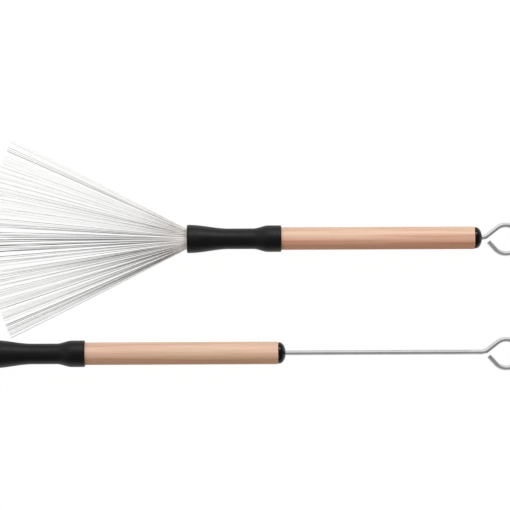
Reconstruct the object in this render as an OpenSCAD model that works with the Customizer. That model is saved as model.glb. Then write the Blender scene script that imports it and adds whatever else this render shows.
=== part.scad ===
// A pair of retractable wire drum brushes. One lies open with its fan out,
// the other lies closed with its wires drawn into the handle.
// X runs from the wire tips to the finger loop and Z is up. The pair lies on
// Z = 0, with the origin under the middle of its box.
// Each brush is drawn along X from its own mouth plane at x = 0.

/* [Wood handle] */
// Outer diameter of the wooden handle
wood_d = 14.2; // [13:0.1:16]
// Length of the wooden handle, with the part that sits in the grip
wood_len = 130.2; // [120:0.1:150]
// Length of wood that sits in the grip's collar
wood_seat = 8.5; // [6:0.1:10]
// Chamfer round the rear end of the wood
wood_chamfer = 0.4; // [0.2:0.05:0.8]

/* [Front grip] */
// Length of the rubber grip
grip_len = 59.5; // [56:0.5:70]
// Rubber round the lip of the tube's bell mouth
grip_rim_wall = 1.1; // [1:0.05:2]
// Rubber over the tube at the slim waist
grip_waist_wall = 1.45; // [1:0.05:2]
// Rubber over the wood at the rear collar
grip_collar_wall = 1.25; // [0.9:0.05:2]
// Length of the taper from the mouth to the waist
grip_taper_len = 27; // [22:0.5:30]
// Length of the ramp from the waist up to the collar
grip_ramp_len = 10; // [6:0.5:12]
// Length of the straight part of the collar
grip_collar_len = 8; // [7:0.5:10]
// Rounding of the grip's outer edges
grip_edge_r = 0.8; // [0.4:0.1:0.8]

/* [Guide tube] */
// Outer diameter of the tube
tube_d = 10; // [9.4:0.1:10.6]
// Wall of the tube
tube_wall = 0.6; // [0.4:0.05:0.7]
// Outer diameter of the tube's bell mouth
bell_d = 15.6; // [15:0.1:16.5]
// Length of the bell mouth
bell_len = 7.4; // [6:0.1:9]
// How far the bell's lip lies behind the grip's rim
bell_inset = 0.6; // [0.3:0.1:1]

/* [End cap] */
// Step from the wood down to the cap
cap_step = 0.3; // [0.1:0.05:0.6]
// Height of the dome
cap_dome_len = 5; // [3.5:0.1:6]
// Length of the plug in the wood
cap_plug_len = 11; // [7:0.5:14]
// Width of the flare round the rod's hole, on each side
cap_flare = 0.65; // [0.4:0.05:1]
// Depth of that flare
cap_flare_len = 2.4; // [1.5:0.1:3]

/* [Pull rod] */
// Diameter of the rod
rod_d = 3; // [2.6:0.1:3.4]
// Length that the rod pulls out
travel = 124; // [110:1:126]
// Length of rod inside the ferrule
rod_seat = 7; // [4:0.5:8]
// Inner diameter of the finger loop
loop_d = 15; // [13:0.5:20]
// How far the middle of the loop lies beside the rod's axis
loop_drop = 1.1; // [0:0.1:2]
// Slant of the rod where it leaves for the loop
loop_slant = 38; // [32:1:45]
// Radius of that bend at the middle of the rod
bend_r = 8; // [4:0.5:9]
// How deep the start of the bend lies in the cap's flare, pushed in
bend_inset = 1.4; // [0.5:0.1:2]
// Slant of the loop's straight tail
tail_slant = 48; // [40:1:50]
// Length of the tail
tail_len = 6.2; // [3:0.1:6.4]

/* [Friction parts] */
// Thickness of the friction ring's rubber
ring_thickness = 1.8; // [1.4:0.1:2.2]

/* [Ferrule] */
// Length of the ferrule
ferrule_len = 12; // [11:0.5:16]
// From the mouth plane to the front of the ferrule, pushed in
ferrule_inset = 7; // [6.5:0.1:9]
// Radial room between ferrule and tube
ferrule_room = 0.25; // [0.2:0.05:0.4]
// Wall of the ferrule round the roots of the wires
ferrule_wall = 0.4; // [0.3:0.05:0.6]
// Width of each crimp groove
crimp_width = 0.9; // [0.5:0.1:1.2]
// Depth of each crimp groove
crimp_depth = 0.2; // [0.1:0.05:0.25]

/* [Wires] */
// Thickness of one wire
wire_d = 0.4; // [0.3:0.02:0.42]
// Distance between neighbouring wires at their roots
wire_pitch = 0.5; // [0.48:0.01:0.6]
// Length of the longest wires in front of the ferrule
wire_len = 132.6; // [120:0.1:135]
// How much shorter the shortest wires are
wire_trim = 1.5; // [0:0.1:4]
// Angle of the outermost wires of the open fan
fan_angle = 26.4; // [15:0.1:28]
// Thickness of the slice of root that holds the wires
root_len = 2; // [1:0.1:3]

/* [Pair] */
// Room beside the fan, out to the widest part of the closed brush
pair_gap = 0.6; // [0.5:0.1:40]

/* [Fits] */
// Room for glue between pieces that stay together
glue_gap = 0.05; // [0.02:0.01:0.08]
// Radial room where the rod runs through a hole
running_gap = 0.05; // [0.03:0.01:0.1]
// Room between the ferrule and the bush, pulled out
stop_gap = 0.3; // [0.2:0.05:0.5]

/* [Hidden] */
$fn = 96;

// Radii of the pieces, from the inside out
rod_r = rod_d / 2;
tube_r = tube_d / 2;
bore_r = tube_r - tube_wall;
bell_r = bell_d / 2;
wood_r = wood_d / 2;
cap_r = wood_r - cap_step;
rod_hole_r = rod_r + running_gap;
grip_front_r = bell_r + glue_gap + grip_rim_wall;
grip_waist_r = tube_r + glue_gap + grip_waist_wall;
grip_collar_r = wood_r + glue_gap + grip_collar_wall;

// Places along a brush, from its mouth plane
bell_end = bell_inset + bell_len;
ramp_start = grip_len - grip_collar_len - grip_ramp_len;
wood_front = grip_len - wood_seat;
wood_end = wood_front + wood_len;
cap_end = wood_end + glue_gap + cap_dome_len;
plug_front = wood_end - cap_plug_len;
tube_end = plug_front - glue_gap;
ferrule_back = ferrule_inset + ferrule_len;
bush_front = ferrule_back + travel + stop_gap;

// Friction ring, between the bush and the cap's pocket
ring_r = ring_thickness / 2;
ring_middle_r = rod_hole_r + ring_r;
pocket_r = ring_middle_r + ring_r + running_gap;
pocket_len = ring_thickness + 2 * running_gap;

// Finger loop, seen from above with the rod's axis along X
loop_r = loop_d / 2 + rod_r;
bend_x = cap_end - bend_inset;
corner_x = bend_x + bend_r * tan(loop_slant / 2);
loop_x = corner_x + (loop_r - loop_drop * cos(loop_slant)) / sin(loop_slant);
loop_start = 90 + loop_slant;
loop_stop = -90 - tail_slant;
slant_len = norm([
    loop_x - loop_r * sin(loop_slant) - bend_x - bend_r * sin(loop_slant),
    loop_r * cos(loop_slant) - loop_drop - bend_r * (1 - cos(loop_slant))
]);
loop_side = loop_drop + loop_r + rod_r;

// Straight stretches of the rod are a hair slimmer than its bends and end a
// little way inside them, so the two join cleanly
straight_r = rod_r - 0.01;
joint_len = 0.2;

// Wires on a square grid inside the ferrule
ferrule_r = bore_r - ferrule_room;
root_r = ferrule_r - ferrule_wall - glue_gap;
bundle_r = root_r - wire_d / 2;
grid_half = floor(bundle_r / wire_pitch);
group_edge = 2 * wire_pitch;
scatter_share = 0.9;
outermost = grid_half - 0.5 + scatter_share / 2;
strand_sides = 3;
grid = [
    for (i = [-grid_half : grid_half - 1])
    for (j = [-grid_half : grid_half - 1])
    if (norm([i + 0.5, j + 0.5]) * wire_pitch <= bundle_r) [i, j]
];

// Place of the pair
axis_z = max(grip_front_r, grip_collar_r);
fan_half = bundle_r + wire_len * sin(fan_angle);
pair_spacing = fan_half + pair_gap + grip_front_r;
mouth_x = (wire_len - ferrule_inset - loop_x - loop_r - rod_r) / 2;
open_y = (pair_spacing + loop_side - fan_half) / 2;
closed_y = open_y - pair_spacing;

// Even steps from 0 to 1
function steps(n) = [for (k = [0 : n]) k / n];

// Smooth rise from 0 to 1
function rise(t) = (1 - cos(180 * t)) / 2;

// Arc about a centre, from angle a to angle b
function arc(centre, r, a, b) = [
    for (t = steps(6)) centre + r * [cos(a + t * (b - a)), sin(a + t * (b - a))]
];

// Fixed scatter of a wire of the grid, from -0.5 to 0.5
function scatter(cell) = ((7 * cell.x + 5 * cell.y + 1100) % 11) / 10 - 0.5;

// Share of the trim that a wire of the grid loses, from 0 to 1
function shortfall(cell) = ((3 * cell.x + 4 * cell.y + 700) % 7) / 6;

// Angle of a wire in the fan. Each level of wires keeps its order, so none cross.
function fan_turn(cell) =
    fan_angle * (cell.x + 0.5 + scatter_share * scatter(cell)) / outermost;

// Point of a wire at a distance in front of the ferrule, for its angle in the fan
function wire_point(cell, angle, reach) = [
    ferrule_inset - reach * cos(angle),
    (cell.x + 0.5) * wire_pitch + reach * sin(angle),
    (cell.y + 0.5) * wire_pitch
];

// Length of a wire in front of the ferrule
function wire_reach(cell) = wire_len - wire_trim * shortfall(cell);

// Ring of points round one end of a wire, the first on top
function wire_ring(end) = [
    for (k = [0 : strand_sides - 1])
    let (turn = 90 + 360 * k / strand_sides)
    end + wire_d / 2 * [0, cos(turn), sin(turn)]
];

// Faces of one wire: its root, its tip and two triangles a side
function wire_faces(first) = concat(
    [[first, first + 2, first + 1], [first + 3, first + 4, first + 5]],
    [
        for (k = [0 : strand_sides - 1])
        let (next = (k + 1) % strand_sides)
        each [
            [first + k, first + next, first + next + 3],
            [first + k, first + next + 3, first + k + 3]
        ]
    ]
);

// Turns a profile of [radius, place along the brush] round the brush's axis
module turned() {
    rotate([0, 90, 0]) rotate_extrude() children();
}

// Round bar along the brush, from one place to another
module bar(r, from, to) {
    translate([from, 0, 0]) rotate([0, 90, 0]) cylinder(r = r, h = to - from);
}

module open_brush() {
    translate([mouth_x, open_y, axis_z]) children();
}

module closed_brush() {
    translate([mouth_x - travel, closed_y, axis_z]) children();
}

// Carries what moves with the rod of the closed brush
module pulled_out() {
    translate([travel, 0, 0]) children();
}

module wood_handle() {
    color("#d3aa91") difference() {
        turned() polygon([
            [0, wood_front],
            [wood_r, wood_front],
            [wood_r, wood_end - wood_chamfer],
            [wood_r - wood_chamfer, wood_end],
            [0, wood_end]
        ]);
        bar(tube_r + glue_gap, wood_front - 1, wood_end + 1);
    }
}

module front_grip() {
    mouth_edge = arc([grip_front_r - grip_edge_r, grip_edge_r], grip_edge_r, -90, 0);
    taper = [
        for (t = steps(18))
        let (x = grip_edge_r + t * (grip_taper_len - grip_edge_r))
        [grip_front_r - (grip_front_r - grip_waist_r) * rise(t), x]
    ];
    ramp = [
        for (t = steps(12))
        [grip_waist_r + (grip_collar_r - grip_waist_r) * rise(t), ramp_start + t * grip_ramp_len]
    ];
    rear_edge = arc([grip_collar_r - grip_edge_r, grip_len - grip_edge_r], grip_edge_r, 0, 90);
    inside = [
        [wood_r + glue_gap, grip_len],
        [wood_r + glue_gap, wood_front - glue_gap],
        [tube_r + glue_gap, wood_front - glue_gap],
        [tube_r + glue_gap, bell_end],
        [bell_r + glue_gap, bell_inset],
        [bell_r + glue_gap, 0]
    ];
    color("#141414") turned()
        polygon(concat(mouth_edge, taper, ramp, rear_edge, inside));
}

module guide_tube() {
    color("#c9cacb") turned() polygon([
        [bell_r - tube_wall, bell_inset],
        [bell_r, bell_inset],
        [tube_r, bell_end],
        [tube_r, tube_end],
        [bore_r, tube_end],
        [bore_r, bell_end]
    ]);
}

module end_cap() {
    dome = [
        for (t = steps(14))
        [cap_r * cos(90 * t), wood_end + glue_gap + cap_dome_len * sin(90 * t)]
    ];
    color("#0c0c0c") difference() {
        turned() polygon(concat(
            [[0, plug_front], [tube_r, plug_front], [tube_r, wood_end + glue_gap]],
            dome
        ));
        bar(rod_hole_r, plug_front - 1, cap_end + 1);
        bar(pocket_r, plug_front - 1, plug_front + pocket_len);
        turned() polygon([
            [0, cap_end - cap_flare_len],
            [rod_hole_r, cap_end - cap_flare_len],
            [rod_hole_r + cap_flare, cap_end],
            [rod_hole_r + cap_flare, cap_end + 1],
            [0, cap_end + 1]
        ]);
    }
}

module rod_bush() {
    color("#e6e2d6") difference() {
        bar(bore_r - glue_gap, bush_front, tube_end);
        bar(rod_hole_r, bush_front - 1, tube_end + 1);
    }
}

module friction_ring() {
    color("#2b2b2b") turned()
        translate([ring_middle_r, plug_front + pocket_len / 2])
            circle(r = ring_r);
}

// Frames along the bent end of the rod: the middle of the loop, the start of
// the slanted stretch, and the centre of the bend
module at_loop() {
    translate([loop_x, -loop_drop, 0]) children();
}

module at_slant() {
    at_loop() rotate([0, 0, loop_slant]) translate([-slant_len, loop_r, 0]) children();
}

module at_bend() {
    at_slant() translate([0, bend_r, 0]) rotate([0, 0, -loop_slant]) children();
}

// Stretch of rod bent round the origin, from one angle to another
module bent_rod(r, from, to) {
    rotate([0, 0, from])
        rotate_extrude(angle = to - from) translate([r, 0]) circle(r = rod_r);
}

module pull_rod() {
    straight_len = bend_x - ferrule_back + rod_seat;
    color("#c4c6c8") {
        at_bend() translate([0, -bend_r, 0]) bar(straight_r, -straight_len, joint_len);
        at_bend() bent_rod(bend_r, -90, loop_slant - 90);
        at_slant() bar(straight_r, -joint_len, slant_len + joint_len);
        at_loop() bent_rod(loop_r, loop_stop, loop_start);
        at_loop() rotate([0, 0, -tail_slant]) translate([0, -loop_r, 0])
            bar(straight_r, -tail_len, joint_len);
    }
}

module wire_ferrule() {
    color("#c8a95a") difference() {
        bar(ferrule_r, ferrule_inset, ferrule_back);
        bar(root_r + glue_gap, ferrule_inset - 1, ferrule_inset + root_len + glue_gap);
        bar(rod_r + glue_gap, ferrule_back - rod_seat - glue_gap, ferrule_back + 1);
        for (x = [ferrule_back - 2 * crimp_width, ferrule_back - 4 * crimp_width]) {
            difference() {
                bar(ferrule_r + 1, x - crimp_width / 2, x + crimp_width / 2);
                bar(ferrule_r - crimp_depth, x - crimp_width, x + crimp_width);
            }
        }
    }
}

// One group of wires and the slice of root that holds them. The group takes
// the wires between two places across the brush; spread is 1 in the open fan
// and 0 in the drawn-in bundle.
module wire_group(from, to, spread) {
    cells = [
        for (cell = grid)
        let (y = (cell.x + 0.5) * wire_pitch)
        if (y > from && y < to) cell
    ];
    root_depth = wire_d / 2;
    color("#bfbfbb") {
        intersection() {
            bar(root_r, ferrule_inset, ferrule_inset + root_len);
            translate([0, from + glue_gap / 2, -root_r])
                cube([ferrule_inset + root_len, to - from - glue_gap, 2 * root_r]);
        }
        polyhedron(
            points = [
                for (cell = cells)
                let (angle = spread * fan_turn(cell))
                each concat(
                    wire_ring(wire_point(cell, angle, -root_depth)),
                    wire_ring(wire_point(cell, angle, wire_reach(cell)))
                )
            ],
            faces = [
                for (k = [0 : len(cells) - 1])
                each wire_faces(2 * strand_sides * k)
            ]
        );
    }
}

module wires_left(spread) {
    wire_group(-root_r, -group_edge, spread);
}

module wires_centre(spread) {
    wire_group(-group_edge, group_edge, spread);
}

module wires_right(spread) {
    wire_group(group_edge, root_r, spread);
}

open_brush() wood_handle();  // open_wood_handle
open_brush() front_grip();  // open_front_grip
open_brush() guide_tube();  // open_guide_tube
open_brush() end_cap();  // open_end_cap
open_brush() rod_bush();  // open_rod_bush
open_brush() friction_ring();  // open_friction_ring
open_brush() pull_rod();  // open_pull_rod
open_brush() wire_ferrule();  // open_wire_ferrule
open_brush() wires_left(1);  // open_wires_left
open_brush() wires_centre(1);  // open_wires_centre
open_brush() wires_right(1);  // open_wires_right
closed_brush() wood_handle();  // closed_wood_handle
closed_brush() front_grip();  // closed_front_grip
closed_brush() guide_tube();  // closed_guide_tube
closed_brush() end_cap();  // closed_end_cap
closed_brush() rod_bush();  // closed_rod_bush
closed_brush() friction_ring();  // closed_friction_ring
closed_brush() pulled_out() pull_rod();  // closed_pull_rod
closed_brush() pulled_out() wire_ferrule();  // closed_wire_ferrule
closed_brush() pulled_out() wires_left(0);  // closed_wires_left
closed_brush() pulled_out() wires_centre(0);  // closed_wires_centre
closed_brush() pulled_out() wires_right(0);  // closed_wires_right
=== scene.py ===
import math
import random

import bmesh
import bpy
from bpy.props import FloatProperty, FloatVectorProperty, IntProperty, PointerProperty
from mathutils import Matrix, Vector


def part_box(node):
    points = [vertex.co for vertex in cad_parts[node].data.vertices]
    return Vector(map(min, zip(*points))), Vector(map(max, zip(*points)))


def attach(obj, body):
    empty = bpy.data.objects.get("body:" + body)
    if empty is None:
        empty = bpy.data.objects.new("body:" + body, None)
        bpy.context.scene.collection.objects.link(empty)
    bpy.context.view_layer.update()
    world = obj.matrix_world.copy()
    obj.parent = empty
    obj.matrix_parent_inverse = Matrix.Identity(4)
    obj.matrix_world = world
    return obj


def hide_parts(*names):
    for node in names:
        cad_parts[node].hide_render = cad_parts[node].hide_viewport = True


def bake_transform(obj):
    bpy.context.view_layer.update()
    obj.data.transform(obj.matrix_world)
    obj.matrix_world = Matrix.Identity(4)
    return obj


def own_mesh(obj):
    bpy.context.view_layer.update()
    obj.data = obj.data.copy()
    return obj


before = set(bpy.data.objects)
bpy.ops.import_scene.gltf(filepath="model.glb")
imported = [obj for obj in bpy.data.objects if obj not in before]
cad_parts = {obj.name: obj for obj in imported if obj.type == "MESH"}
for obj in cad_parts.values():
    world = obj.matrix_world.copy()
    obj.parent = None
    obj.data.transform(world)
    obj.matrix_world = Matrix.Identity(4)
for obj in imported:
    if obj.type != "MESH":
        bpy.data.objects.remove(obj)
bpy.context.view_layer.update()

bl_info = {
    "name": "Wire drum brushes",
    "version": (1, 0, 0),
    "blender": (4, 5, 0),
    "location": "View3D > Sidebar > Wire Brushes",
    "description": "Dresses a pair of retractable wire drum brushes, one open and one closed",
    "category": "Object",
}

SHADED = "shaded_from_key"
WHITE = (1.0, 1.0, 1.0)

# Sides of the round pieces, and steps of their curves
TURNED_SIDES = 96
ROD_SIDES = 32
WIRE_SIDES = 6
CORNER_STEPS = 5
EDGE_STEPS = 6
TAPER_STEPS = 36
RAMP_STEPS = 24
BELL_STEPS = 8
SHOULDER_STEPS = 8
DOME_STEPS = 28
RING_STEPS = 28
STRAIGHT_STEPS = 12
BEND_STEPS = 12
LOOP_STEPS = 72
TAIL_STEPS = 4
SOLDER_STEPS = 8
FAN_STEPS = 8
BUNDLE_STEPS = 6

# Angles past which an edge is sharp, in degrees
SHARP_EDGE = 40
SHARP_WIRE_EDGE = 70

# Levels of a pattern between which a finish changes, and the mix node's sockets for colours
PATTERN_RANGE = (0.3, 0.7)
MIX_INPUTS = (0, 6, 7)
MIX_RESULT = 2

# Ranges of the wires' unevenness, as shares or in metres
BUNCH_WIDTH = (0.4, 1.6)
BUNCH_DRAW = (0.3, 1.0)
THREAD_PLACE = (0.05, 0.95)
THREAD_SPREAD = (-0.0024, 0.0024)
WIRE_BOW = (-0.0012, 0.0012)
WIRE_DRIFT = (-0.0006, 0.0006)

# Layers of the bundle: the first wire's height, the step to the next and the share that they fill
FIRST_LAYER = 0.37
LAYER_STEP = 0.6180339887
LAYER_SHARE = 0.95

# How deep the wires reach into their root, and how it narrows the fan, as shares
ROOT_REACH = 0.7
ROOT_PINCH = 0.98

# Bow of the outermost wires in metres
EDGE_BOW = 0.0006

# Thickness of a wire that is still a mere line, in metres
LINE = 1e-9

# Tones of the wires, the scores at which the darker ones start, and what a wire's score is made of
WIRE_TONES = (1.0, 0.75, 0.2)
TONE_STARTS = (0.47, 0.86)
# Painted shade: the wires on the fan's lower side, away from the key light, score darker
LOWER_SIDE_PAINTED_SHADE = 0.06
HEART_SCORE = 0.7
STRAY_CHANCE = 0.96

# Painted light and shade on the wires from tip to root, as (place, share): painted light next to the mouth
# and painted shade in front of it, and where across the fan it changes
MIDDLE_PAINTED_SHADING = ((0.3, 1.0), (0.72, 0.85), (0.86, 0.90), (0.94, 1.25))
UPPER_PAINTED_SHADING = ((0.3, 1.0), (0.70, 0.85), (0.79, 0.64), (0.87, 0.64), (0.94, 0.88))
LOWER_PAINTED_SHADING = ((0.3, 1.0), (0.55, 0.74), (0.70, 0.59), (0.86, 0.59), (0.94, 1.15))
TO_UPPER = ((0.51, 0.0), (0.55, 1.0))
TO_LOWER = ((0.43, 1.0), (0.47, 0.0))

# Grey levels of the room from its dark side to its bright one, the way across it, and its horizon
ROOM_LEVELS = ((0.0, 0.08), (0.14, 0.24), (0.55, 0.26), (0.68, 0.64), (1.0, 0.92))
ROOM_WAY = (-0.32, 0.385, 0.0)
ROOM_MIDDLE = 0.5
HORIZON = (0.14, 0.04)


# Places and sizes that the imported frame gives


class Brush:
    """Where one brush lies: its mouth, its axis and the places along it, in metres."""

    def __init__(self, state):
        low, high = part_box(f"{state}_front_grip")
        self.mouth = Vector((low.x, (low.y + high.y) / 2, (low.z + high.z) / 2))
        _, self.grip_end, self.grip_radius = self.span(f"{state}_front_grip")
        self.wood_front, self.wood_end, self.wood_radius = self.span(f"{state}_wood_handle")
        self.bell_lip, self.tube_end, self.bell_radius = self.span(f"{state}_guide_tube")
        self.plug_front, self.cap_end, self.cap_radius = self.span(f"{state}_end_cap")
        self.rod_front, self.rod_end, self.rod_radius = self.span(f"{state}_pull_rod")
        self.ferrule_face, _, _ = self.span(f"{state}_wire_ferrule")

    def span(self, node):
        """Front and rear of a CAD node as places along the brush, and its radius."""
        low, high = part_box(node)
        return low.x - self.mouth.x, high.x - self.mouth.x, (high.z - low.z) / 2

    def at(self, x, y=0.0, z=0.0):
        """Point of the frame for a place along, across and above the brush's axis."""
        return self.mouth + Vector((x, y, z))


BRUSHES = {state: Brush(state) for state in ("open", "closed")}
OPEN = BRUSHES["open"]
CLOSED = BRUSHES["closed"]


# Sizes and colours that a user may change


def number(name, description, default, **options):
    return FloatProperty(name=name, description=description, default=default, **options)


def length(name, description, default):
    return number(name, description, default, min=0.0, unit="LENGTH", precision=5)


def angle(name, description, degrees):
    return number(name, description, math.radians(degrees), subtype="ANGLE")


def share(name, description, default):
    return number(name, description, default, min=0.0, max=1.0, subtype="FACTOR")


def whole(name, description, default, **limits):
    return IntProperty(name=name, description=description, default=default, **limits)


def colour(name, description, default):
    return FloatVectorProperty(
        name=name, description=description, default=default, size=3, min=0.0, max=1.0, subtype="COLOR"
    )


class HandleSizes(bpy.types.PropertyGroup):
    """Sizes of the handle's pieces that their boxes don't give"""

    grip_waist: length("Grip waist", "Radius of the grip at its slim waist", 0.0065)
    grip_collar: length("Grip collar", "Radius of the grip's rear collar", 0.0084)
    grip_taper: length("Grip taper", "Length from the mouth to the waist", 0.027)
    grip_ramp: length("Grip ramp", "Length of the ramp from the waist to the collar", 0.010)
    grip_collar_length: length("Collar length", "Length of the collar's straight part", 0.008)
    grip_edge: length("Grip edge", "Rounding of the grip's outer edges", 0.0008)
    mouth_bevel: length("Mouth bevel", "Bevel of the grip's inner edge at the mouth", 0.0003)
    wood_edge: length("Wood edge", "Rounding of the wood's edges", 0.0005)
    tube_radius: length("Tube radius", "Outer radius of the guide tube", 0.005)
    tube_wall: length("Tube wall", "Wall of the guide tube", 0.0006)
    tube_lip: share("Tube lip", "Rounding of the bell's lip, as a share of the wall", 0.45)
    bell_length: length("Bell length", "Length of the tube's bell mouth", 0.0074)
    bell_neck: length("Bell neck", "Rounding inside the tube where the bell begins", 0.006)
    dome: length("Dome", "Height of the end cap's dome", 0.005)
    shoulder: length("Shoulder", "Rounding of the cap where it meets the wood", 0.0008)
    rod_hole: length("Rod hole", "Radius of the hole for the rod in the cap", 0.00155)
    flare: length("Flare", "Width of the flare round that hole", 0.00065)
    flare_depth: length("Flare depth", "Depth of the flare", 0.0024)
    lip_depth: length("Lip depth", "Depth of the lip at the flare's outer edge", 0.0004)
    lip_width: length("Lip width", "Width of that lip", 0.0002)
    ring_thickness: length("Ring thickness", "Thickness of the friction ring's rubber", 0.0018)
    fit: length("Fit", "Room between pieces that sit in each other", 0.00005)


class RodSizes(bpy.types.PropertyGroup):
    """Sizes of the pull rod's bends"""

    loop_radius: length("Loop radius", "Radius of the finger loop at the middle of the rod", 0.009)
    loop_drop: length("Loop drop", "How far the loop's middle lies beside the rod's axis", 0.0011)
    loop_slant: angle("Loop slant", "Slant of the rod where it leaves for the loop", 38)
    bend_radius: length("Bend radius", "Radius of the bend before the slanted stretch", 0.008)
    tail_slant: angle("Tail slant", "Slant of the loop's straight tail", 48)
    tail_length: length("Tail length", "Length of the tail", 0.0062)
    end_bevel: length("End bevel", "Bevel round the cut end of the tail", 0.0002)


class WireSizes(bpy.types.PropertyGroup):
    """Sizes and counts of the wires"""

    threads: whole("Threads", "Threads of wires in each brush", 95, min=40, max=120)
    thread_wires: whole("Wires of a thread", "Wires that lie close in a thread", 2, min=2, max=6)
    thickness: length("Thickness", "Thickness of one wire", 0.00021)
    reach: length("Reach", "Length of the longest wires in front of the ferrule", 0.1326)
    trim: length("Trim", "How much shorter the shortest wires are", 0.0015)
    fan: angle("Fan", "Angle of the outermost wires of the open fan", 27.0)
    fan_tilt: angle("Fan tilt", "Turn of the whole open fan towards its upper side", 0.4)
    fan_height: length("Fan height", "Height over the axis that the fan's wires keep below", 0.0031)
    fan_pattern: whole("Fan pattern", "Picks the open fan's uneven pattern", 68561)
    bow_pattern: whole("Bow pattern", "Picks how the open fan's wires bow", 41)
    bundle_pattern: whole("Bundle pattern", "Picks the closed brush's uneven pattern", 11)
    bunches: whole("Bunches", "Bunches that the wires draw together in", 15, min=3, max=60)
    draw: share("Draw", "How far the wires of a bunch draw together at most", 0.27)
    weight: share("Weight", "How much denser the lower wires of the fan lie", 0.3)
    heart: share("Heart", "Place across the fan, from its lower side, where the wires lie densest", 0.475)
    heart_width: share("Heart width", "Share of the fan that the dense middle takes", 0.095)
    heart_draw: share("Heart draw", "How far the wires draw together there", 0.55)
    bundle: length("Bundle", "Radius of the bundle at the ferrule", 0.0028)
    root: length("Root", "Radius of the solder that holds the roots", 0.0037)
    root_depth: length("Root depth", "Depth of the roots in the ferrule", 0.002)
    solder_sink: length("Solder sink", "How far the solder's rim lies behind the ferrule's face", 0.0002)
    solder_dome: length("Solder dome", "Height of the solder's dome over its rim", 0.0005)
    solder_core: length("Solder core", "Radius of the pit in the middle of the solder", 0.0001)


class Finishes(bpy.types.PropertyGroup):
    """Colours of the brushes' materials"""

    wood_light: colour("Light wood", "Light, pinkish streaks of the wood", (0.840, 0.540, 0.425))
    wood_dark: colour("Dark wood", "Dark streaks of the wood", (0.660, 0.375, 0.255))
    wood_yellow: colour("Yellow wood", "Yellowish streaks of the wood", (0.785, 0.555, 0.395))
    # Painted shade: tints that darken the wood on its side away from the key light and on its side towards
    # it
    wood_far_side_painted_shade: colour("Far side painted shade", "Reddish painted shade on the open brush's side away from the key light", (1.0, 0.80, 0.70))
    wood_far_side_painted_shade_pale: colour("Pale far side painted shade", "Painted shade on the closed brush's side away from the key light", (1.0, 0.93, 0.82))
    wood_key_side_painted_shade: colour("Key side painted shade", "Painted shade on the wood's side towards the key light", (0.79, 0.835, 0.83))
    # Painted highlight on the rounded rim at the wood's rear end
    wood_rim_highlight: colour("Wood rim highlight", "Painted highlight on the rim at the rear end of the wood", (0.90, 0.70, 0.58))
    rubber: colour("Rubber", "Black rubber of the grips", (0.0012, 0.0011, 0.0014))
    cap: colour("Cap", "Black plastic of the end caps", (0.0009, 0.0008, 0.0008))
    rod: colour("Rod", "Plated steel of the pull rods", (0.73, 0.735, 0.735))
    rod_edge: colour("Rod edge", "Tint of the rods' steel where it is seen aslant", (0.3, 0.3, 0.3))
    wire: colour("Wire", "Steel of the wires", (0.92, 0.92, 0.905))
    # Painted light for the wires next to the mouth, where the grip shades them
    wire_mouth_painted_light: colour("Wire mouth painted light", "Painted light on the wires next to the mouth", (0.94, 0.90, 0.86))
    tube: colour("Tube", "Aluminium of the guide tubes", (0.72, 0.72, 0.73))
    bush: colour("Bush", "Plastic of the rod bushes", (0.76, 0.73, 0.65))
    ring: colour("Ring", "Rubber of the friction rings", (0.020, 0.019, 0.018))
    brass: colour("Brass", "Brass of the ferrules", (0.70, 0.53, 0.24))
    solder: colour("Solder", "Solder round the roots of the wires", (0.55, 0.55, 0.54))


class StageSettings(bpy.types.PropertyGroup):
    """Floor, light and camera"""

    field: length("Field", "Width of the picture at the height of the brushes' axes", 0.3213)
    sensor: number("Sensor", "Width of the sensor in mm", 36.0, min=1.0)
    camera_height: length("Camera height", "Height of the camera over the axes", 2.0)
    camera_side: number(
        "Camera side", "Place of the camera across the pair", 0.00032, unit="LENGTH", precision=5
    )
    camera_turn: angle("Camera turn", "Turn of the camera about its line of sight", -0.25)
    floor: colour("Floor", "Colour of the floor", (0.90, 0.64, 0.50))
    floor_reach: length("Floor reach", "Distance from the middle of the floor to its edges", 8.0)
    floor_glow: share("Floor glow", "Share of plain white in the floor that is seen", 0.97)
    floor_white: number("Floor white", "Strength of that white", 1.02, min=0.0)
    key_power: number("Key light", "Power of the soft key light", 17.0, min=0.0, unit="POWER")
    key_size: length("Key size", "Width of the key light's disc", 0.8)
    key_place: FloatVectorProperty(
        name="Key place",
        description="Place of the key light, which points to the origin",
        default=(0.64, 1.31, 1.06),
        subtype="TRANSLATION",
    )
    sky: number("Room light", "Strength of the room's light", 1.35, min=0.0)


# Meshes


def arc(centre_x, centre_r, radius, start, stop, steps):
    """Points of an arc in a profile, from one angle to another."""
    angles = [start + (stop - start) * k / steps for k in range(steps + 1)]
    return [(centre_x + radius * math.cos(a), centre_r + radius * math.sin(a)) for a in angles]


def wave(start, stop, steps):
    """Points of a profile from one (place, radius) to another on half a wave, level at both ends."""
    points = []
    for k in range(steps + 1):
        rise = (1 - math.cos(math.pi * k / steps)) / 2
        points.append((start[0] + (stop[0] - start[0]) * k / steps, start[1] + (stop[1] - start[1]) * rise))
    return points


def rounded(corners, steps=CORNER_STEPS):
    """Profile through corners of (place, radius, rounding), with each corner rounded as it says."""
    points = []
    for k, (x, r, rounding) in enumerate(corners):
        here = Vector((x, r))
        if rounding <= 0:
            points.append((x, r))
            continue
        before = Vector(corners[k - 1][:2]) - here
        after = Vector(corners[(k + 1) % len(corners)][:2]) - here
        half = before.angle(after) / 2
        reach = rounding / math.tan(half)
        inwards = (before.normalized() + after.normalized()).normalized()
        middle = here + inwards * (rounding / math.sin(half))
        first = here + before.normalized() * reach - middle
        last = here + after.normalized() * reach - middle
        turn = first.angle_signed(last)
        for s in range(steps + 1):
            a = -turn * s / steps
            c, n = math.cos(a), math.sin(a)
            points.append((middle.x + c * first.x - n * first.y, middle.y + n * first.x + c * first.y))
    return points


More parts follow.
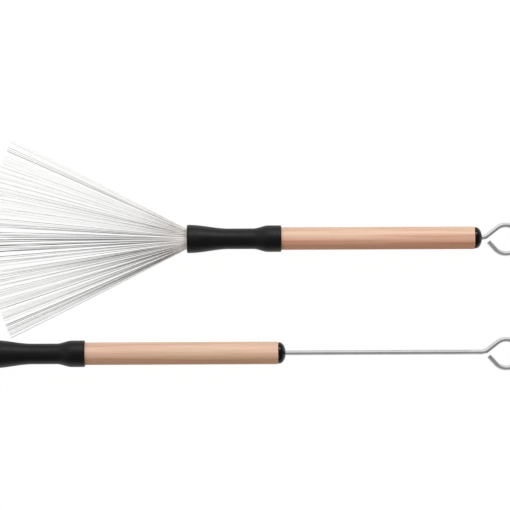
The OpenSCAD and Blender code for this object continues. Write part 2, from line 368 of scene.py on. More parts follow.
def way_at(path, k):
    """Direction of a path at its point k."""
    return (path[min(k + 1, len(path) - 1)] - path[max(k - 1, 0)]).normalized()


def skin(bm, rings):
    """Faces between each ring of vertices and the next."""
    faces = []
    for here, there in zip(rings, rings[1:]):
        for m in range(len(here)):
            n = (m + 1) % len(here)
            faces.append(bm.faces.new((here[m], here[n], there[n], there[m])))
    return faces


def new_piece(name, build, materials, sharp_edge=SHARP_EDGE):
    """Object whose mesh is made by build(bmesh), with smooth faces and sharp edges where it turns."""
    mesh = bpy.data.meshes.new(name)
    bm = bmesh.new()
    build(bm)
    bmesh.ops.recalc_face_normals(bm, faces=bm.faces)
    for face in bm.faces:
        face.smooth = True
    bm.to_mesh(mesh)
    bm.free()
    mesh.set_sharp_from_angle(angle=math.radians(sharp_edge))
    for material in materials:
        mesh.materials.append(material)
    piece = bpy.data.objects.new(name, mesh)
    bpy.context.scene.collection.objects.link(piece)
    return piece


def turned_piece(name, brush, profile, material):
    """Piece turned from a closed profile of (place, radius) round the brush's axis."""

    def build(bm):
        rings = []
        for k in range(TURNED_SIDES):
            a = 2 * math.pi * k / TURNED_SIDES
            rings.append([bm.verts.new(brush.at(x, r * math.cos(a), r * math.sin(a))) for x, r in profile])
        skin(bm, [*rings, rings[0]])

    return new_piece(name, build, [material])


def refinish(node, material):
    """Gives a CAD node that stays in view a new finish."""
    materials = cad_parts[node].data.materials
    materials.clear()
    materials.append(material)


def carried(piece, body, slot, *nodes):
    """Lets a piece move with a body and hides the CAD nodes that it stands for. The slot is not used."""
    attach(piece, body)
    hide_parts(*nodes)


def shade_from_key(piece):
    """Keeps the key light's glare off a piece that mirrors the room."""
    shaded = bpy.data.collections[SHADED]
    shaded.objects.link(piece)
    shaded.collection_objects[-1].light_linking.link_state = "EXCLUDE"


# Materials


class Nodes:
    """A node tree, with short ways to add the nodes that it needs."""

    def __init__(self, tree):
        self.tree = tree

    def feed(self, socket, value):
        """Links a socket to another one, or sets it to a plain value."""
        if isinstance(value, bpy.types.NodeSocket):
            self.tree.links.new(value, socket)
        else:
            socket.default_value = value

    def node(self, kind, **inputs):
        """Node with some of its inputs fed by name, written in small letters."""
        node = self.tree.nodes.new(kind)
        for name, value in inputs.items():
            self.feed(node.inputs[name.replace("_", " ").title()], value)
        return node

    def joined(self, kind, *values, output=0, **settings):
        """Output of a node with these settings, its first inputs fed in order."""
        node = self.tree.nodes.new(kind)
        for name, setting in settings.items():
            setattr(node, name, setting)
        for socket, value in zip(node.inputs, values):
            self.feed(socket, value)
        return node.outputs[output]

    def ramp(self, value, *stops):
        """Colours or grey levels picked by a value, from stops of (place, colour or grey)."""
        node = self.node("ShaderNodeValToRGB", fac=value)
        elements = node.color_ramp.elements
        while len(elements) < len(stops):
            elements.new(0.5)
        for element, (place, level) in zip(elements, stops):
            element.position = place
            element.color = (*level, 1) if hasattr(level, "__len__") else (level, level, level, 1)
        return node.outputs["Color"]

    def seen_ray(self, level):
        """Level for rays from the camera, from mirrors and through glass, and 0 for the others."""
        path = self.node("ShaderNodeLightPath").outputs
        seen = path["Is Camera Ray"]
        for name in ("Is Glossy Ray", "Is Transmission Ray"):
            seen = self.joined("ShaderNodeMath", seen, path[name], operation="MAXIMUM")
        return self.joined("ShaderNodeMath", seen, level, operation="MULTIPLY")


class Finish(Nodes):
    """Material of a piece, with the patterns that it is made of."""

    def __init__(self, name, base, roughness, metallic=0.0, specular=0.5, shade=1.0):
        self.material = bpy.data.materials.new(name)
        self.material.use_nodes = True
        super().__init__(self.material.node_tree)
        self.colours = bpy.context.scene.brush_finishes
        self.base = Vector(getattr(self.colours, base)) * shade
        self.surface = self.tree.nodes["Principled BSDF"].inputs
        self.surface["Base Color"].default_value = (*self.base, 1)
        self.surface["Roughness"].default_value = roughness
        self.surface["Metallic"].default_value = metallic
        self.surface["Specular IOR Level"].default_value = specular
        self.places = self.tree.nodes.new("ShaderNodeTexCoord").outputs

    def across(self):
        """Place from 0 to 1 along each side of the piece's box."""
        return self.node("ShaderNodeSeparateXYZ", vector=self.places["Generated"]).outputs

    def noise(self, scale=1.0, detail=3.0, roughness=0.5, place=None):
        """Soft random pattern from 0 to 1."""
        place = place or self.places["Object"]
        node = self.node("ShaderNodeTexNoise", vector=place, scale=scale, detail=detail, roughness=roughness)
        return node.outputs["Fac"]

    def grain(self, stretch, place=None, **settings):
        """Noise that is scaled along each axis, so that it runs in streaks or in rings."""
        place = place or self.places["Object"]
        mapping = self.node("ShaderNodeMapping", vector=place, scale=stretch)
        return self.noise(place=mapping.outputs["Vector"], **settings)

    def between(self, pattern, low, high):
        """Level or colour that goes from low to high as a pattern rises."""
        return self.ramp(pattern, *zip(PATTERN_RANGE, (low, high)))

    def shades(self, pattern, low, high):
        """The base colour between two shades of it, as a pattern rises."""
        return self.between(pattern, self.base * low, self.base * high)

    def mix(self, amount, first, second, blend="MIX"):
        """Mix of two colours."""
        node = self.tree.nodes.new("ShaderNodeMix")
        node.data_type = "RGBA"
        node.blend_type = blend
        for index, value in zip(MIX_INPUTS, (amount, first, second)):
            self.feed(node.inputs[index], value)
        return node.outputs[MIX_RESULT]

    def times(self, tone, *shades):
        """Colour multiplied by one shade after another."""
        for shade in shades:
            tone = self.mix(1.0, tone, shade, "MULTIPLY")
        return tone

    def bump(self, height, strength, distance, under=None):
        """Relief from a height pattern, over other relief."""
        node = self.node("ShaderNodeBump", strength=strength, distance=distance, height=height)
        if under is not None:
            self.tree.links.new(under, node.inputs["Normal"])
        return node.outputs["Normal"]

    def finished(self, tone, rough, relief=None):
        """The material, with patterns for its colour, its roughness and its relief."""
        for name, pattern in (("Base Color", tone), ("Roughness", rough), ("Normal", relief)):
            if pattern is not None:
                self.tree.links.new(pattern, self.surface[name])
        return self.material


def made_once(make):
    """Keeps the material that make() returns, so that each finish is made once."""
    kept = {}

    def give(*which):
        if which not in kept:
            kept[which] = make(*which)
        return kept[which]

    return give


@made_once
def satin_wood(state):
    """Turned wood: lengthwise streaks, fine fibres and short pores, with painted shade on its sides away
    from and towards the key light and a painted highlight on its rear rim.
    """
    f = Finish(f"satin_wood_{state}", "wood_light", 0.5, specular=0.2)
    colours = f.colours
    # Painted shade for the wood's side away from the key light, paler on the closed brush
    heart = {"open": colours.wood_far_side_painted_shade, "closed": colours.wood_far_side_painted_shade_pale}[state]
    streaks = f.grain((9, 480, 480), detail=4, roughness=0.6)
    tint = f.grain((8, 300, 300), scale=1.7, detail=2)
    fibres = f.grain((20, 1700, 1700), detail=3, roughness=0.55)
    pores = f.grain((150, 5200, 5200), detail=2)
    across = f.across()
    yellow = f.ramp(tint, (0.40, 0.0), (0.60, 1.0))
    dark = f.ramp(streaks, (0.33, 1.0), (0.50, 0.0))
    # Painted highlight on the rim at the wood's rear end
    rim = f.ramp(across["X"], (0.9962, 0.0), (0.9975, 0.7))
    tone = f.mix(yellow, (*colours.wood_light, 1), (*colours.wood_yellow, 1))
    tone = f.mix(dark, tone, (*colours.wood_dark, 1))
    # Painted shade across the wood: darker and redder on the side away from the key light, plain in the
    # middle, darker on the side towards it
    side = f.ramp(across["Y"], (0.34, heart), (0.62, WHITE), (0.70, WHITE), (0.94, colours.wood_key_side_painted_shade))
    light = f.ramp(fibres, (0.25, 0.87), (0.75, 1.06))
    tone = f.times(tone, side, light, f.ramp(pores, (0.26, 0.84), (0.36, 1.0)))
    tone = f.mix(rim, tone, (*colours.wood_rim_highlight, 1))
    rough = f.ramp(fibres, (0.2, 0.44), (0.8, 0.56))
    return f.finished(tone, rough, f.bump(pores, 0.12, 0.0002, f.bump(fibres, 0.10, 0.0002)))


@made_once
def matte_rubber():
    """Black moulded rubber with a fine matte skin and the faint rings of its mould."""
    f = Finish("matte_rubber", "rubber", 0.4, specular=0.25)
    grit = f.noise(5200, detail=3)
    rings = f.grain((6500, 90, 90), detail=2)
    cloud = f.noise(160, detail=4)
    relief = f.bump(rings, 0.9, 0.00014, f.bump(grit, 0.2, 0.00008))
    return f.finished(f.shades(cloud, 0.75, 1.25), f.between(cloud, 0.36, 0.44), relief)


@made_once
def glossy_plastic():
    """Black moulded plastic with a polished surface."""
    f = Finish("glossy_plastic", "cap", 0.14, specular=0.2)
    cloud = f.noise(240, detail=4)
    waves = f.noise(620, detail=2)
    rough = f.ramp(cloud, (0.35, 0.1), (0.65, 0.16))
    return f.finished(f.shades(cloud, 0.8, 1.3), rough, f.bump(waves, 0.05, 0.0003))


@made_once
def plated_steel():
    """Plated rod with faint draw marks along it."""
    f = Finish("plated_steel", "rod", 0.2, metallic=1.0)
    f.surface["Specular Tint"].default_value = (*f.colours.rod_edge, 1)
    along = f.tree.nodes.new("ShaderNodeUVMap")
    along.uv_map = "along"
    draw = f.grain((26, 5200, 1), along.outputs["UV"], detail=4, roughness=0.65)
    cloud = f.noise(130, detail=4)
    tone = f.times(f.shades(cloud, 0.92, 1.06), f.ramp(draw, (0.3, 0.93), (0.6, 1.0)))
    return f.finished(tone, f.between(draw, 0.1, 0.15), f.bump(draw, 0.02, 0.0001))


@made_once
def wire_steel(tone):
    """Steel of the wires in one tone, with painted light next to the mouth and painted shade in front of it,
    which differ across the fan.
    """
    f = Finish(f"wire_steel_{round(100 * tone)}", "wire", 0.3, metallic=1.0, shade=tone)
    across = f.across()
    cloud = f.grain((60, 900, 900), detail=3)
    # Painted light and shade along the wires, different across the fan
    middle = f.ramp(across["X"], *MIDDLE_PAINTED_SHADING)
    upper = f.ramp(across["X"], *UPPER_PAINTED_SHADING)
    lower = f.ramp(across["X"], *LOWER_PAINTED_SHADING)
    painted_shading = f.mix(f.ramp(across["Y"], *TO_UPPER), middle, upper)
    painted_shading = f.mix(f.ramp(across["Y"], *TO_LOWER), painted_shading, lower)
    # Painted light on the wires next to the mouth
    mouth_painted_light = f.ramp(across["X"], (0.60, f.base), (0.86, f.colours.wire_mouth_painted_light))
    return f.finished(f.times(mouth_painted_light, f.between(cloud, 0.84, 1.08), painted_shading), f.between(cloud, 0.45, 0.6))


@made_once
def turned_aluminium():
    """Aluminium tube with the fine rings that turning leaves."""
    f = Finish("turned_aluminium", "tube", 0.32, metallic=1.0)
    rings = f.grain((9000, 120, 120), detail=3)
    cloud = f.noise(180, detail=3)
    return f.finished(f.shades(cloud, 0.88, 1.05), f.between(rings, 0.25, 0.4), f.bump(rings, 0.1, 0.0001))


@made_once
def plain_plastic():
    """Natural plastic of the rod bushes."""
    f = Finish("plain_plastic", "bush", 0.45)
    cloud = f.noise(300, detail=4)
    rings = f.grain((5200, 60, 60), detail=2)
    return f.finished(f.shades(cloud, 0.9, 1.05), f.between(cloud, 0.38, 0.52), f.bump(rings, 0.08, 0.0001))


@made_once
def ring_rubber():
    """Dark rubber of the friction rings."""
    f = Finish("ring_rubber", "ring", 0.5, specular=0.35)
    grit = f.noise(3800, detail=3)
    cloud = f.noise(420, detail=3)
    return f.finished(f.shades(cloud, 0.75, 1.3), f.between(cloud, 0.42, 0.58), f.bump(grit, 0.2, 0.0001))


@made_once
def crimped_brass():
    """Brass of the ferrules, slightly tarnished."""
    f = Finish("crimped_brass", "brass", 0.3, metallic=1.0)
    cloud = f.noise(260, detail=5)
    rings = f.grain((7000, 90, 90), detail=2)
    tone = f.ramp(cloud, (0.3, f.base * 0.72), (0.65, f.base * 1.05))
    return f.finished(tone, f.between(cloud, 0.42, 0.26), f.bump(rings, 0.1, 0.0001))


@made_once
def grey_solder():
    """Solder that fills the ferrule round the roots of the wires."""
    f = Finish("grey_solder", "solder", 0.4, metallic=1.0)
    lumps = f.noise(900, detail=4)
    return f.finished(f.shades(lumps, 0.7, 1.1), f.between(lumps, 0.5, 0.32), f.bump(lumps, 0.3, 0.0003))


# The wires


def inverse_rise(w):
    """Place from 0 to 1 at which the smooth rise t * t * (3 - 2 * t) reaches w."""
    return 0.5 - math.sin(math.asin(1 - 2 * w) / 3)


def nearness(place):
    """How near a place across the fan lies to its dense middle, from 0 to 1."""
    sizes = bpy.context.scene.brush_wires
    return math.exp(-(((place - sizes.heart) / sizes.heart_width) ** 2))


def wire_rows(seed):
    """Wires of one brush as (turn from -1 to 1, place across, height, length, chance that picks the tone).

    A few wires lie close in a thread, and the threads draw together in bunches of uneven width.
    """
    sizes = bpy.context.scene.brush_wires
    dice = random.Random(seed)
    widths = [dice.uniform(*BUNCH_WIDTH) for _ in range(sizes.bunches)]
    bunches = []
    low = 0.0
    for width in widths:
        high = low + width / sum(widths)
        bunches.append((low, high, sizes.draw * dice.uniform(*BUNCH_DRAW)))
        low = high
    turns = []
    for k in range(sizes.threads):
        place = (k + dice.uniform(*THREAD_PLACE)) / sizes.threads
        place -= sizes.weight * place * (1 - place)
        low, high, draw = next((b for b in bunches if b[0] <= place <= b[1]), bunches[-1])
        place += draw * ((low + high) / 2 - place)
        place -= sizes.heart_draw * (place - sizes.heart) * nearness(place)
        chance = dice.random()
        for _ in range(sizes.thread_wires):
            turns.append((2 * (place + dice.uniform(*THREAD_SPREAD)) - 1, chance))
    widest = max(abs(turn) for turn, _ in turns)
    rows = []
    for k, (turn, chance) in enumerate(sorted((turn / widest, chance) for turn, chance in turns)):
        across = math.copysign(sizes.bundle * inverse_rise(abs(turn)), turn)
        half = math.sqrt(max(0.0, sizes.bundle**2 - across**2))
        height = half * LAYER_SHARE * (2 * ((FIRST_LAYER + LAYER_STEP * k) % 1) - 1)
        rows.append((turn, across, height, sizes.reach - sizes.trim * dice.random(), chance))
    return rows


def tone_of(chance, turn):
    """Index of a wire's tone. The middle wires of the fan are darker on the whole, and the wires on its
    lower side get a painted shade.
    """
    if chance > STRAY_CHANCE:
        return len(WIRE_TONES) - 1
    score = chance - LOWER_SIDE_PAINTED_SHADE * turn + HEART_SCORE * nearness((1 + turn) / 2)
    return sum(score >= start for start in TONE_STARTS)


def strands(bm, paths, tones, thickness):
    """Adds round wires along paths, each with its tone."""
    for path, tone in zip(paths, tones):
        rings = []
        for k, point in enumerate(path):
            forward = way_at(path, k)
            side = forward.cross(Vector((0, 0, 1))).normalized()
            up = side.cross(forward)
            ring = []
            for m in range(WIRE_SIDES):
                a = 2 * math.pi * (m + 0.5) / WIRE_SIDES
                ring.append(bm.verts.new(point + thickness / 2 * (side * math.cos(a) + up * math.sin(a))))
            rings.append(ring)
        for face in (bm.faces.new(rings[0]), bm.faces.new(rings[-1]), *skin(bm, rings)):
            face.material_index = tone


def wire_piece(name, paths, tones, thickness):
    """Piece of round wires along paths, each with its tone."""
    materials = [wire_steel(tone) for tone in WIRE_TONES]
    return new_piece(name, lambda bm: strands(bm, paths, tones, thickness), materials, SHARP_WIRE_EDGE)


# Operators: the stage and the pieces


class WIREBRUSH_OT_stage(bpy.types.Operator):
    """Adds the pale floor, the soft studio light and the camera"""

    bl_idname = "wire_brush.stage"
    bl_label = "Stage"

    def execute(self, context):
        stage = context.scene.brush_stage
        self.add_floor(context.scene, stage)
        self.add_key(context.scene, stage)
        self.add_room(context.scene, stage)
        self.add_camera(context.scene, stage)
        context.scene.view_settings.view_transform = "Standard"
        return {"FINISHED"}

    def add_floor(self, scene, stage):
        mesh = bpy.data.meshes.new("floor")
        bm = bmesh.new()
        bmesh.ops.create_grid(bm, x_segments=4, y_segments=4, size=stage.floor_reach)
        bm.to_mesh(mesh)
        bm.free()
        floor = bpy.data.objects.new("floor", mesh)
        scene.collection.objects.link(floor)
        material = bpy.data.materials.new("pale_floor")
        material.use_nodes = True
        nodes = Nodes(material.node_tree)
        nodes.tree.nodes.clear()
        plain = nodes.node("ShaderNodeBsdfDiffuse", color=(*stage.floor, 1)).outputs[0]
        glow = nodes.node("ShaderNodeEmission", strength=stage.floor_white).outputs[0]
        seen = nodes.joined("ShaderNodeMixShader", nodes.seen_ray(stage.floor_glow), plain, glow)
        nodes.node("ShaderNodeOutputMaterial", surface=seen)
        mesh.materials.append(material)

    def add_key(self, scene, stage):
        key = bpy.data.lights.new("key", "AREA")
        key.energy = stage.key_power
        key.shape = "DISK"
        key.size = stage.key_size
        lamp = bpy.data.objects.new("key", key)
        lamp.location = stage.key_place
        lamp.rotation_euler = (-lamp.location).to_track_quat("-Z", "Y").to_euler()
        scene.collection.objects.link(lamp)
        lamp.light_linking.receiver_collection = bpy.data.collections.new(SHADED)

    def add_room(self, scene, stage):
        """Grey room with a bright side, and the white of the floor below its horizon."""
        world = bpy.data.worlds.new("studio")
        world.use_nodes = True
        nodes = Nodes(world.node_tree)
        nodes.tree.nodes.clear()
        way = nodes.node("ShaderNodeTexCoord").outputs["Generated"]
        side = nodes.joined("ShaderNodeVectorMath", way, ROOM_WAY, output="Value", operation="DOT_PRODUCT")
        place = nodes.joined("ShaderNodeMath", side, ROOM_MIDDLE, operation="ADD")
        levels = nodes.ramp(place, *ROOM_LEVELS)
        room = nodes.node("ShaderNodeBackground", color=levels, strength=stage.sky).outputs[0]
        white = nodes.node("ShaderNodeBackground", color=(*WHITE, 1)).outputs[0]
        height = nodes.node("ShaderNodeSeparateXYZ", vector=way).outputs["Z"]
        below = nodes.joined("ShaderNodeMapRange", height, *HORIZON, interpolation_type="SMOOTHSTEP")
        seen = nodes.joined("ShaderNodeMath", below, nodes.seen_ray(1.0), operation="MULTIPLY")
        nodes.node("ShaderNodeOutputWorld", surface=nodes.joined("ShaderNodeMixShader", seen, room, white))
        scene.world = world

    def add_camera(self, scene, stage):
        data = bpy.data.cameras.new("camera")
        data.sensor_width = stage.sensor
        data.lens = data.sensor_width * stage.camera_height / stage.field
        camera = bpy.data.objects.new("camera", data)
        camera.location = (0.0, stage.camera_side, OPEN.mouth.z + stage.camera_height)
        camera.rotation_euler = (0.0, 0.0, stage.camera_turn)
        scene.collection.objects.link(camera)
        scene.camera = camera


class WIREBRUSH_OT_wood_handles(bpy.types.Operator):
    """Turns the wooden handles"""

    bl_idname = "wire_brush.wood_handles"
    bl_label = "Wood handles"

    def execute(self, context):
        sizes = context.scene.brush_handle
        bore = sizes.tube_radius + sizes.fit
        edge = sizes.wood_edge
        for state, brush in BRUSHES.items():
            profile = rounded([
                (brush.wood_front, bore, 0),
                (brush.wood_front, brush.wood_radius, edge),
                (brush.wood_end, brush.wood_radius, edge),
                (brush.wood_end, bore, 0),
            ])
            piece = turned_piece(f"{state}_wood", brush, profile, satin_wood(state))
            carried(piece, f"{state}_handle", "wood", f"{state}_wood_handle")
        return {"FINISHED"}


class WIREBRUSH_OT_rubber_grips(bpy.types.Operator):
    """Moulds the rubber grips, with a wide mouth, a slim waist and a collar over the wood"""

    bl_idname = "wire_brush.rubber_grips"
    bl_label = "Rubber grips"

    def execute(self, context):
        for state, brush in BRUSHES.items():
            profile = self.profile(brush, context.scene.brush_handle)
            piece = turned_piece(f"{state}_grip", brush, profile, matte_rubber())
            carried(piece, f"{state}_handle", "grip_rubber", f"{state}_front_grip")
        return {"FINISHED"}

    def profile(self, brush, sizes):
        """Outline of the grip, along its outside from the mouth to the collar and back inside."""
        front, waist, collar, edge = brush.grip_radius, sizes.grip_waist, sizes.grip_collar, sizes.grip_edge
        ramp_end = brush.grip_end - sizes.grip_collar_length
        ramp_start = ramp_end - sizes.grip_ramp
        wood = brush.wood_radius + sizes.fit
        tube = sizes.tube_radius + sizes.fit
        bell = brush.bell_radius + sizes.fit
        return [
            *arc(edge, front - edge, edge, math.pi, math.pi / 2, EDGE_STEPS),
            *wave((edge, front), (sizes.grip_taper, waist), TAPER_STEPS)[1:],
            *wave((ramp_start, waist), (ramp_end, collar), RAMP_STEPS),
            *arc(brush.grip_end - edge, collar - edge, edge, math.pi / 2, 0, EDGE_STEPS),
            (brush.grip_end, wood),
            (brush.wood_front - sizes.fit, wood),
            (brush.wood_front - sizes.fit, tube),
            (brush.bell_lip + sizes.bell_length, tube),
            (brush.bell_lip, bell),
            (sizes.mouth_bevel, bell),
            (0.0, bell + sizes.mouth_bevel),
        ]


class WIREBRUSH_OT_guide_tubes(bpy.types.Operator):
    """Draws the guide tubes with their bell mouths"""

    bl_idname = "wire_brush.guide_tubes"
    bl_label = "Guide tubes"

    def execute(self, context):
        sizes = context.scene.brush_handle
        bore = sizes.tube_radius - sizes.tube_wall
        lip = sizes.tube_lip * sizes.tube_wall
        for state, brush in BRUSHES.items():
            neck = brush.bell_lip + sizes.bell_length
            profile = rounded([
                (brush.bell_lip, brush.bell_radius - sizes.tube_wall, lip),
                (brush.bell_lip, brush.bell_radius, lip / 2),
                (neck, sizes.tube_radius, 0),
                (brush.tube_end, sizes.tube_radius, 0),
                (brush.tube_end, bore, 0),
                (neck, bore, sizes.bell_neck),
            ], steps=BELL_STEPS)
            piece = turned_piece(f"{state}_tube", brush, profile, turned_aluminium())
            carried(piece, f"{state}_handle", "tube_aluminium", f"{state}_guide_tube")
        return {"FINISHED"}


class WIREBRUSH_OT_end_caps(bpy.types.Operator):
    """Moulds the domed end caps with their plugs and flared holes"""

    bl_idname = "wire_brush.end_caps"
    bl_label = "End caps"

    def execute(self, context):
        sizes = context.scene.brush_handle
        for state, brush in BRUSHES.items():
            piece = turned_piece(f"{state}_cap", brush, self.profile(brush, sizes), glossy_plastic())
            carried(piece, f"{state}_handle", "cap_plastic", f"{state}_end_cap")
        return {"FINISHED"}

    def profile(self, brush, sizes):
        """Outline of the cap, from its plug over the dome and back through the hole."""
        hole, pocket = sizes.rod_hole, sizes.rod_hole + sizes.ring_thickness + sizes.fit
        pocket_end = brush.plug_front + sizes.ring_thickness + 2 * sizes.fit
        seat = brush.cap_end - sizes.dome
        rim = hole + sizes.flare
        edge = sizes.shoulder
        shoulder = arc(seat + edge, brush.cap_radius - edge, edge, math.pi, math.pi / 2, SHOULDER_STEPS)
        last = math.acos(rim / brush.cap_radius)
        dome = []
        for k in range(1, DOME_STEPS + 1):
            a = last * k / DOME_STEPS
            dome.append((seat + edge + (sizes.dome - edge) * math.sin(a), brush.cap_radius * math.cos(a)))
        return [
            (brush.plug_front, pocket),
            (brush.plug_front, sizes.tube_radius),
            (seat, sizes.tube_radius),
            *shoulder,
            *dome,
            (dome[-1][0] - sizes.lip_depth, rim - sizes.lip_width),
            (brush.cap_end - sizes.flare_depth, hole),
            (pocket_end, hole),
            (pocket_end, pocket),
        ]


class WIREBRUSH_OT_rod_guides(bpy.types.Operator):
    """Finishes the rod bushes and adds the friction rings behind them"""

    bl_idname = "wire_brush.rod_guides"
    bl_label = "Rod bushes and friction rings"

    def execute(self, context):
        sizes = context.scene.brush_handle
        radius = sizes.ring_thickness / 2
        for state, brush in BRUSHES.items():
            refinish(f"{state}_rod_bush", plain_plastic())
            middle = brush.plug_front + radius + sizes.fit
            profile = arc(middle, sizes.rod_hole + radius, radius, 0, 2 * math.pi, RING_STEPS)[:-1]
            piece = turned_piece(f"{state}_rubber_ring", brush, profile, ring_rubber())
            carried(piece, f"{state}_ring", "ring_rubber", f"{state}_friction_ring")
        return {"FINISHED"}


class WIREBRUSH_OT_pull_rods(bpy.types.Operator):
    """Bends the pull rods with their finger loops"""

    bl_idname = "wire_brush.pull_rods"
    bl_label = "Pull rods"

    def execute(self, context):
        sizes = context.scene.brush_rod
        for state, brush in BRUSHES.items():
            piece = self.rod(f"{state}_bent_rod", brush, self.path(brush, sizes), sizes.end_bevel)
            carried(piece, f"{state}_rod", "rod_steel", f"{state}_pull_rod")
            shade_from_key(piece)
        return {"FINISHED"}

    def path(self, brush, sizes):
        """Middle of the rod as points along and across the brush."""
        r, b = sizes.loop_radius, sizes.bend_radius
        slant, tail = sizes.loop_slant, sizes.tail_slant
        loop = Vector((brush.rod_end - r - brush.rod_radius, -sizes.loop_drop))
        corner = loop.x - (r - sizes.loop_drop * math.cos(slant)) / math.sin(slant)
        bend = Vector((corner - b * math.tan(slant / 2), b))
        straight = bend.x - brush.rod_front
        points = []
        for k in range(STRAIGHT_STEPS):
            points.append(Vector((brush.rod_front + straight * k / STRAIGHT_STEPS, 0)))
        for k in range(BEND_STEPS + 1):
            a = slant * k / BEND_STEPS
            points.append(bend + b * Vector((math.sin(a), -math.cos(a))))
        first, last = math.pi / 2 + slant, -math.pi / 2 - tail
        for k in range(LOOP_STEPS + 1):
            a = first + (last - first) * k / LOOP_STEPS
            points.append(loop + r * Vector((math.cos(a), math.sin(a))))
        end, ahead = points[-1], Vector((math.sin(last), -math.cos(last)))
        for k in range(1, TAIL_STEPS + 1):
            points.append(end + ahead * sizes.tail_length * k / TAIL_STEPS)
        return points

    def rod(self, name, brush, path, bevel):
        """Round rod along a path, with a bevel at its end and a map for the draw marks."""
        radius = brush.rod_radius
        widths = [*(radius for _ in path), radius - bevel]
        ahead = (path[-1] - path[-2]).normalized()
        path = [*path[:-1], path[-1] - ahead * bevel, path[-1]]
        reach = [0.0]
        for here, there in zip(path, path[1:]):
            reach.append(reach[-1] + (there - here).length)

        def build(bm):
            rings = []
            for k, (point, width) in enumerate(zip(path, widths)):
                way = way_at(path, k)
                ring = []
                for m in range(ROD_SIDES):
                    a = 2 * math.pi * m / ROD_SIDES
                    across = point + Vector((-way.y, way.x)) * width * math.cos(a)
                    ring.append(bm.verts.new(brush.at(across.x, across.y, width * math.sin(a))))
                rings.append(ring)
            bm.faces.new(rings[0])
            bm.faces.new(rings[-1])
            layer = bm.loops.layers.uv.new("along")
            girth = 2 * math.pi * radius / ROD_SIDES
            for index, face in enumerate(skin(bm, rings)):
                k, m = divmod(index, ROD_SIDES)
                corners = ((k, m), (k, m + 1), (k + 1, m + 1), (k + 1, m))
                for loop, (ring, step) in zip(face.loops, corners):
                    loop[layer].uv = (reach[ring], step * girth)

        return new_piece(name, build, [plated_steel()])


class WIREBRUSH_OT_ferrules(bpy.types.Operator):
    """Finishes the ferrules and adds the solder round the roots of the wires"""

    bl_idname = "wire_brush.ferrules"
    bl_label = "Ferrules"

    def execute(self, context):
        sizes = context.scene.brush_wires
        core = sizes.solder_core
        for state, brush in BRUSHES.items():
            refinish(f"{state}_wire_ferrule", crimped_brass())
            back = brush.ferrule_face + sizes.root_depth
            rim = brush.ferrule_face + sizes.solder_sink
            profile = [(back, core), (back, sizes.root), (rim, sizes.root)]
            for k in range(1, SOLDER_STEPS + 1):
                a = math.pi / 2 * k / SOLDER_STEPS
                r = core + (sizes.root - core) * math.cos(a)
                profile.append((rim - sizes.solder_dome * math.sin(a), r))
            piece = turned_piece(f"{state}_solder", brush, profile, grey_solder())
            carried(piece, f"{state}_rod", "wire_steel", f"{state}_wires_centre")
        return {"FINISHED"}


class WIREBRUSH_OT_open_fan(bpy.types.Operator):
    """Spreads the wires of the open brush"""

    bl_idname = "wire_brush.open_fan"
    bl_label = "Open fan"

    def execute(self, context):
        sizes = context.scene.brush_wires
        face = OPEN.ferrule_face
        dice = random.Random(sizes.bow_pattern)
        paths, tones = [], []
        for turn, across, height, reach, chance in wire_rows(sizes.fan_pattern):
            lean = turn * sizes.fan + sizes.fan_tilt
            bow = dice.uniform(*WIRE_BOW) * (1 - abs(turn)) + EDGE_BOW * turn
            drift = dice.uniform(*WIRE_DRIFT)
            path = [OPEN.at(face + sizes.root_depth * ROOT_REACH, across * ROOT_PINCH, height)]
            for k in range(FAN_STEPS + 1):
                s = k / FAN_STEPS
                x = face - s * reach * math.cos(lean)
                y = across + s * reach * math.sin(lean) + bow * math.sin(math.pi * s) * s
                z = max(-sizes.fan_height, min(sizes.fan_height, height + drift * s))
                path.append(OPEN.at(x, y, z))
            paths.append(path)
            tones.append(tone_of(chance, turn))
        piece = wire_piece("open_fan", paths, tones, sizes.thickness)
        OPEN.at(face)
        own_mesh(piece)
        carried(piece, "open_rod", "wire_steel", "open_wires_left", "open_wires_centre", "open_wires_right")
        return {"FINISHED"}


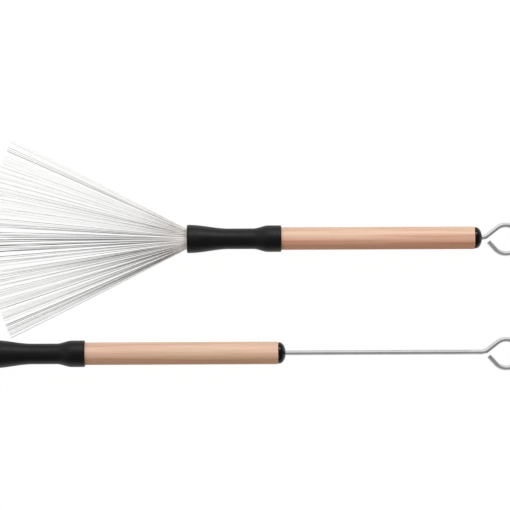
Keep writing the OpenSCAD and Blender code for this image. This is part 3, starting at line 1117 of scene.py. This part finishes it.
class WIREBRUSH_OT_drawn_in_wires(bpy.types.Operator):
    """Lays the drawn-in wires of the closed brush"""

    bl_idname = "wire_brush.drawn_in_wires"
    bl_label = "Drawn-in wires"

    def execute(self, context):
        sizes = context.scene.brush_wires
        rows = wire_rows(sizes.bundle_pattern)
        for side, name in ((-1, "left"), (1, "right")):
            piece = self.half([row for row in rows if row[0] * side > 0], side, name, sizes)
            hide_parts(f"closed_wires_{name}", "closed_wires_centre")
        return {"FINISHED"}

    def half(self, rows, side, name, sizes):
        """Wires of one side, made as mere lines and then moved out to their full thickness."""
        face = CLOSED.ferrule_face
        root = sizes.root_depth * ROOT_REACH
        paths, tones = [], []
        for turn, across, height, reach, chance in rows:
            stops = [-root, *(reach * k / BUNDLE_STEPS for k in range(BUNDLE_STEPS + 1))]
            paths.append([CLOSED.at(face - s, across, height) for s in stops])
            tones.append(tone_of(chance, turn))
        piece = wire_piece(f"closed_bundle_{name}", paths, tones, LINE)
        outside = CLOSED.at(face, side * sizes.bundle)
        CLOSED.at(face)
        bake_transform(piece)
        self.make_round(piece, paths, tones, sizes.thickness)
        return piece

    def make_round(self, piece, paths, tones, thickness):
        """Moves the vertices of a piece of wires out to their full thickness."""
        bm = bmesh.new()
        strands(bm, paths, tones, thickness)
        for vertex, place in zip(piece.data.vertices, bm.verts):
            vertex.co = place.co
        bm.free()
        piece.data.update()


class WIREBRUSH_PT_brushes(bpy.types.Panel):
    """Steps that dress the brushes, in order, with their sizes and colours"""

    bl_idname = "WIREBRUSH_PT_brushes"
    bl_label = "Wire Brushes"
    bl_space_type = "VIEW_3D"
    bl_region_type = "UI"
    bl_category = "Wire Brushes"

    def draw(self, context):
        for operator in OPERATORS:
            self.layout.operator(operator.bl_idname)
        for label, group in SETTINGS.items():
            box = self.layout.box()
            values = getattr(context.scene, label)
            for name in group.__annotations__:
                box.prop(values, name)


SETTINGS = {
    "brush_handle": HandleSizes,
    "brush_rod": RodSizes,
    "brush_wires": WireSizes,
    "brush_finishes": Finishes,
    "brush_stage": StageSettings,
}
OPERATORS = (
    WIREBRUSH_OT_stage,
    WIREBRUSH_OT_wood_handles,
    WIREBRUSH_OT_rubber_grips,
    WIREBRUSH_OT_guide_tubes,
    WIREBRUSH_OT_end_caps,
    WIREBRUSH_OT_rod_guides,
    WIREBRUSH_OT_pull_rods,
    WIREBRUSH_OT_ferrules,
    WIREBRUSH_OT_open_fan,
    WIREBRUSH_OT_drawn_in_wires,
)
CLASSES = (*SETTINGS.values(), *OPERATORS, WIREBRUSH_PT_brushes)


def register():
    for cls in CLASSES:
        bpy.utils.register_class(cls)
    for label, group in SETTINGS.items():
        setattr(bpy.types.Scene, label, PointerProperty(type=group))


def unregister():
    for label in SETTINGS:
        delattr(bpy.types.Scene, label)
    for cls in reversed(CLASSES):
        bpy.utils.unregister_class(cls)


def main():
    register()
    for operator in OPERATORS:
        group, name = operator.bl_idname.split(".")
        getattr(getattr(bpy.ops, group), name)()


if __name__ == "__main__":
    main()
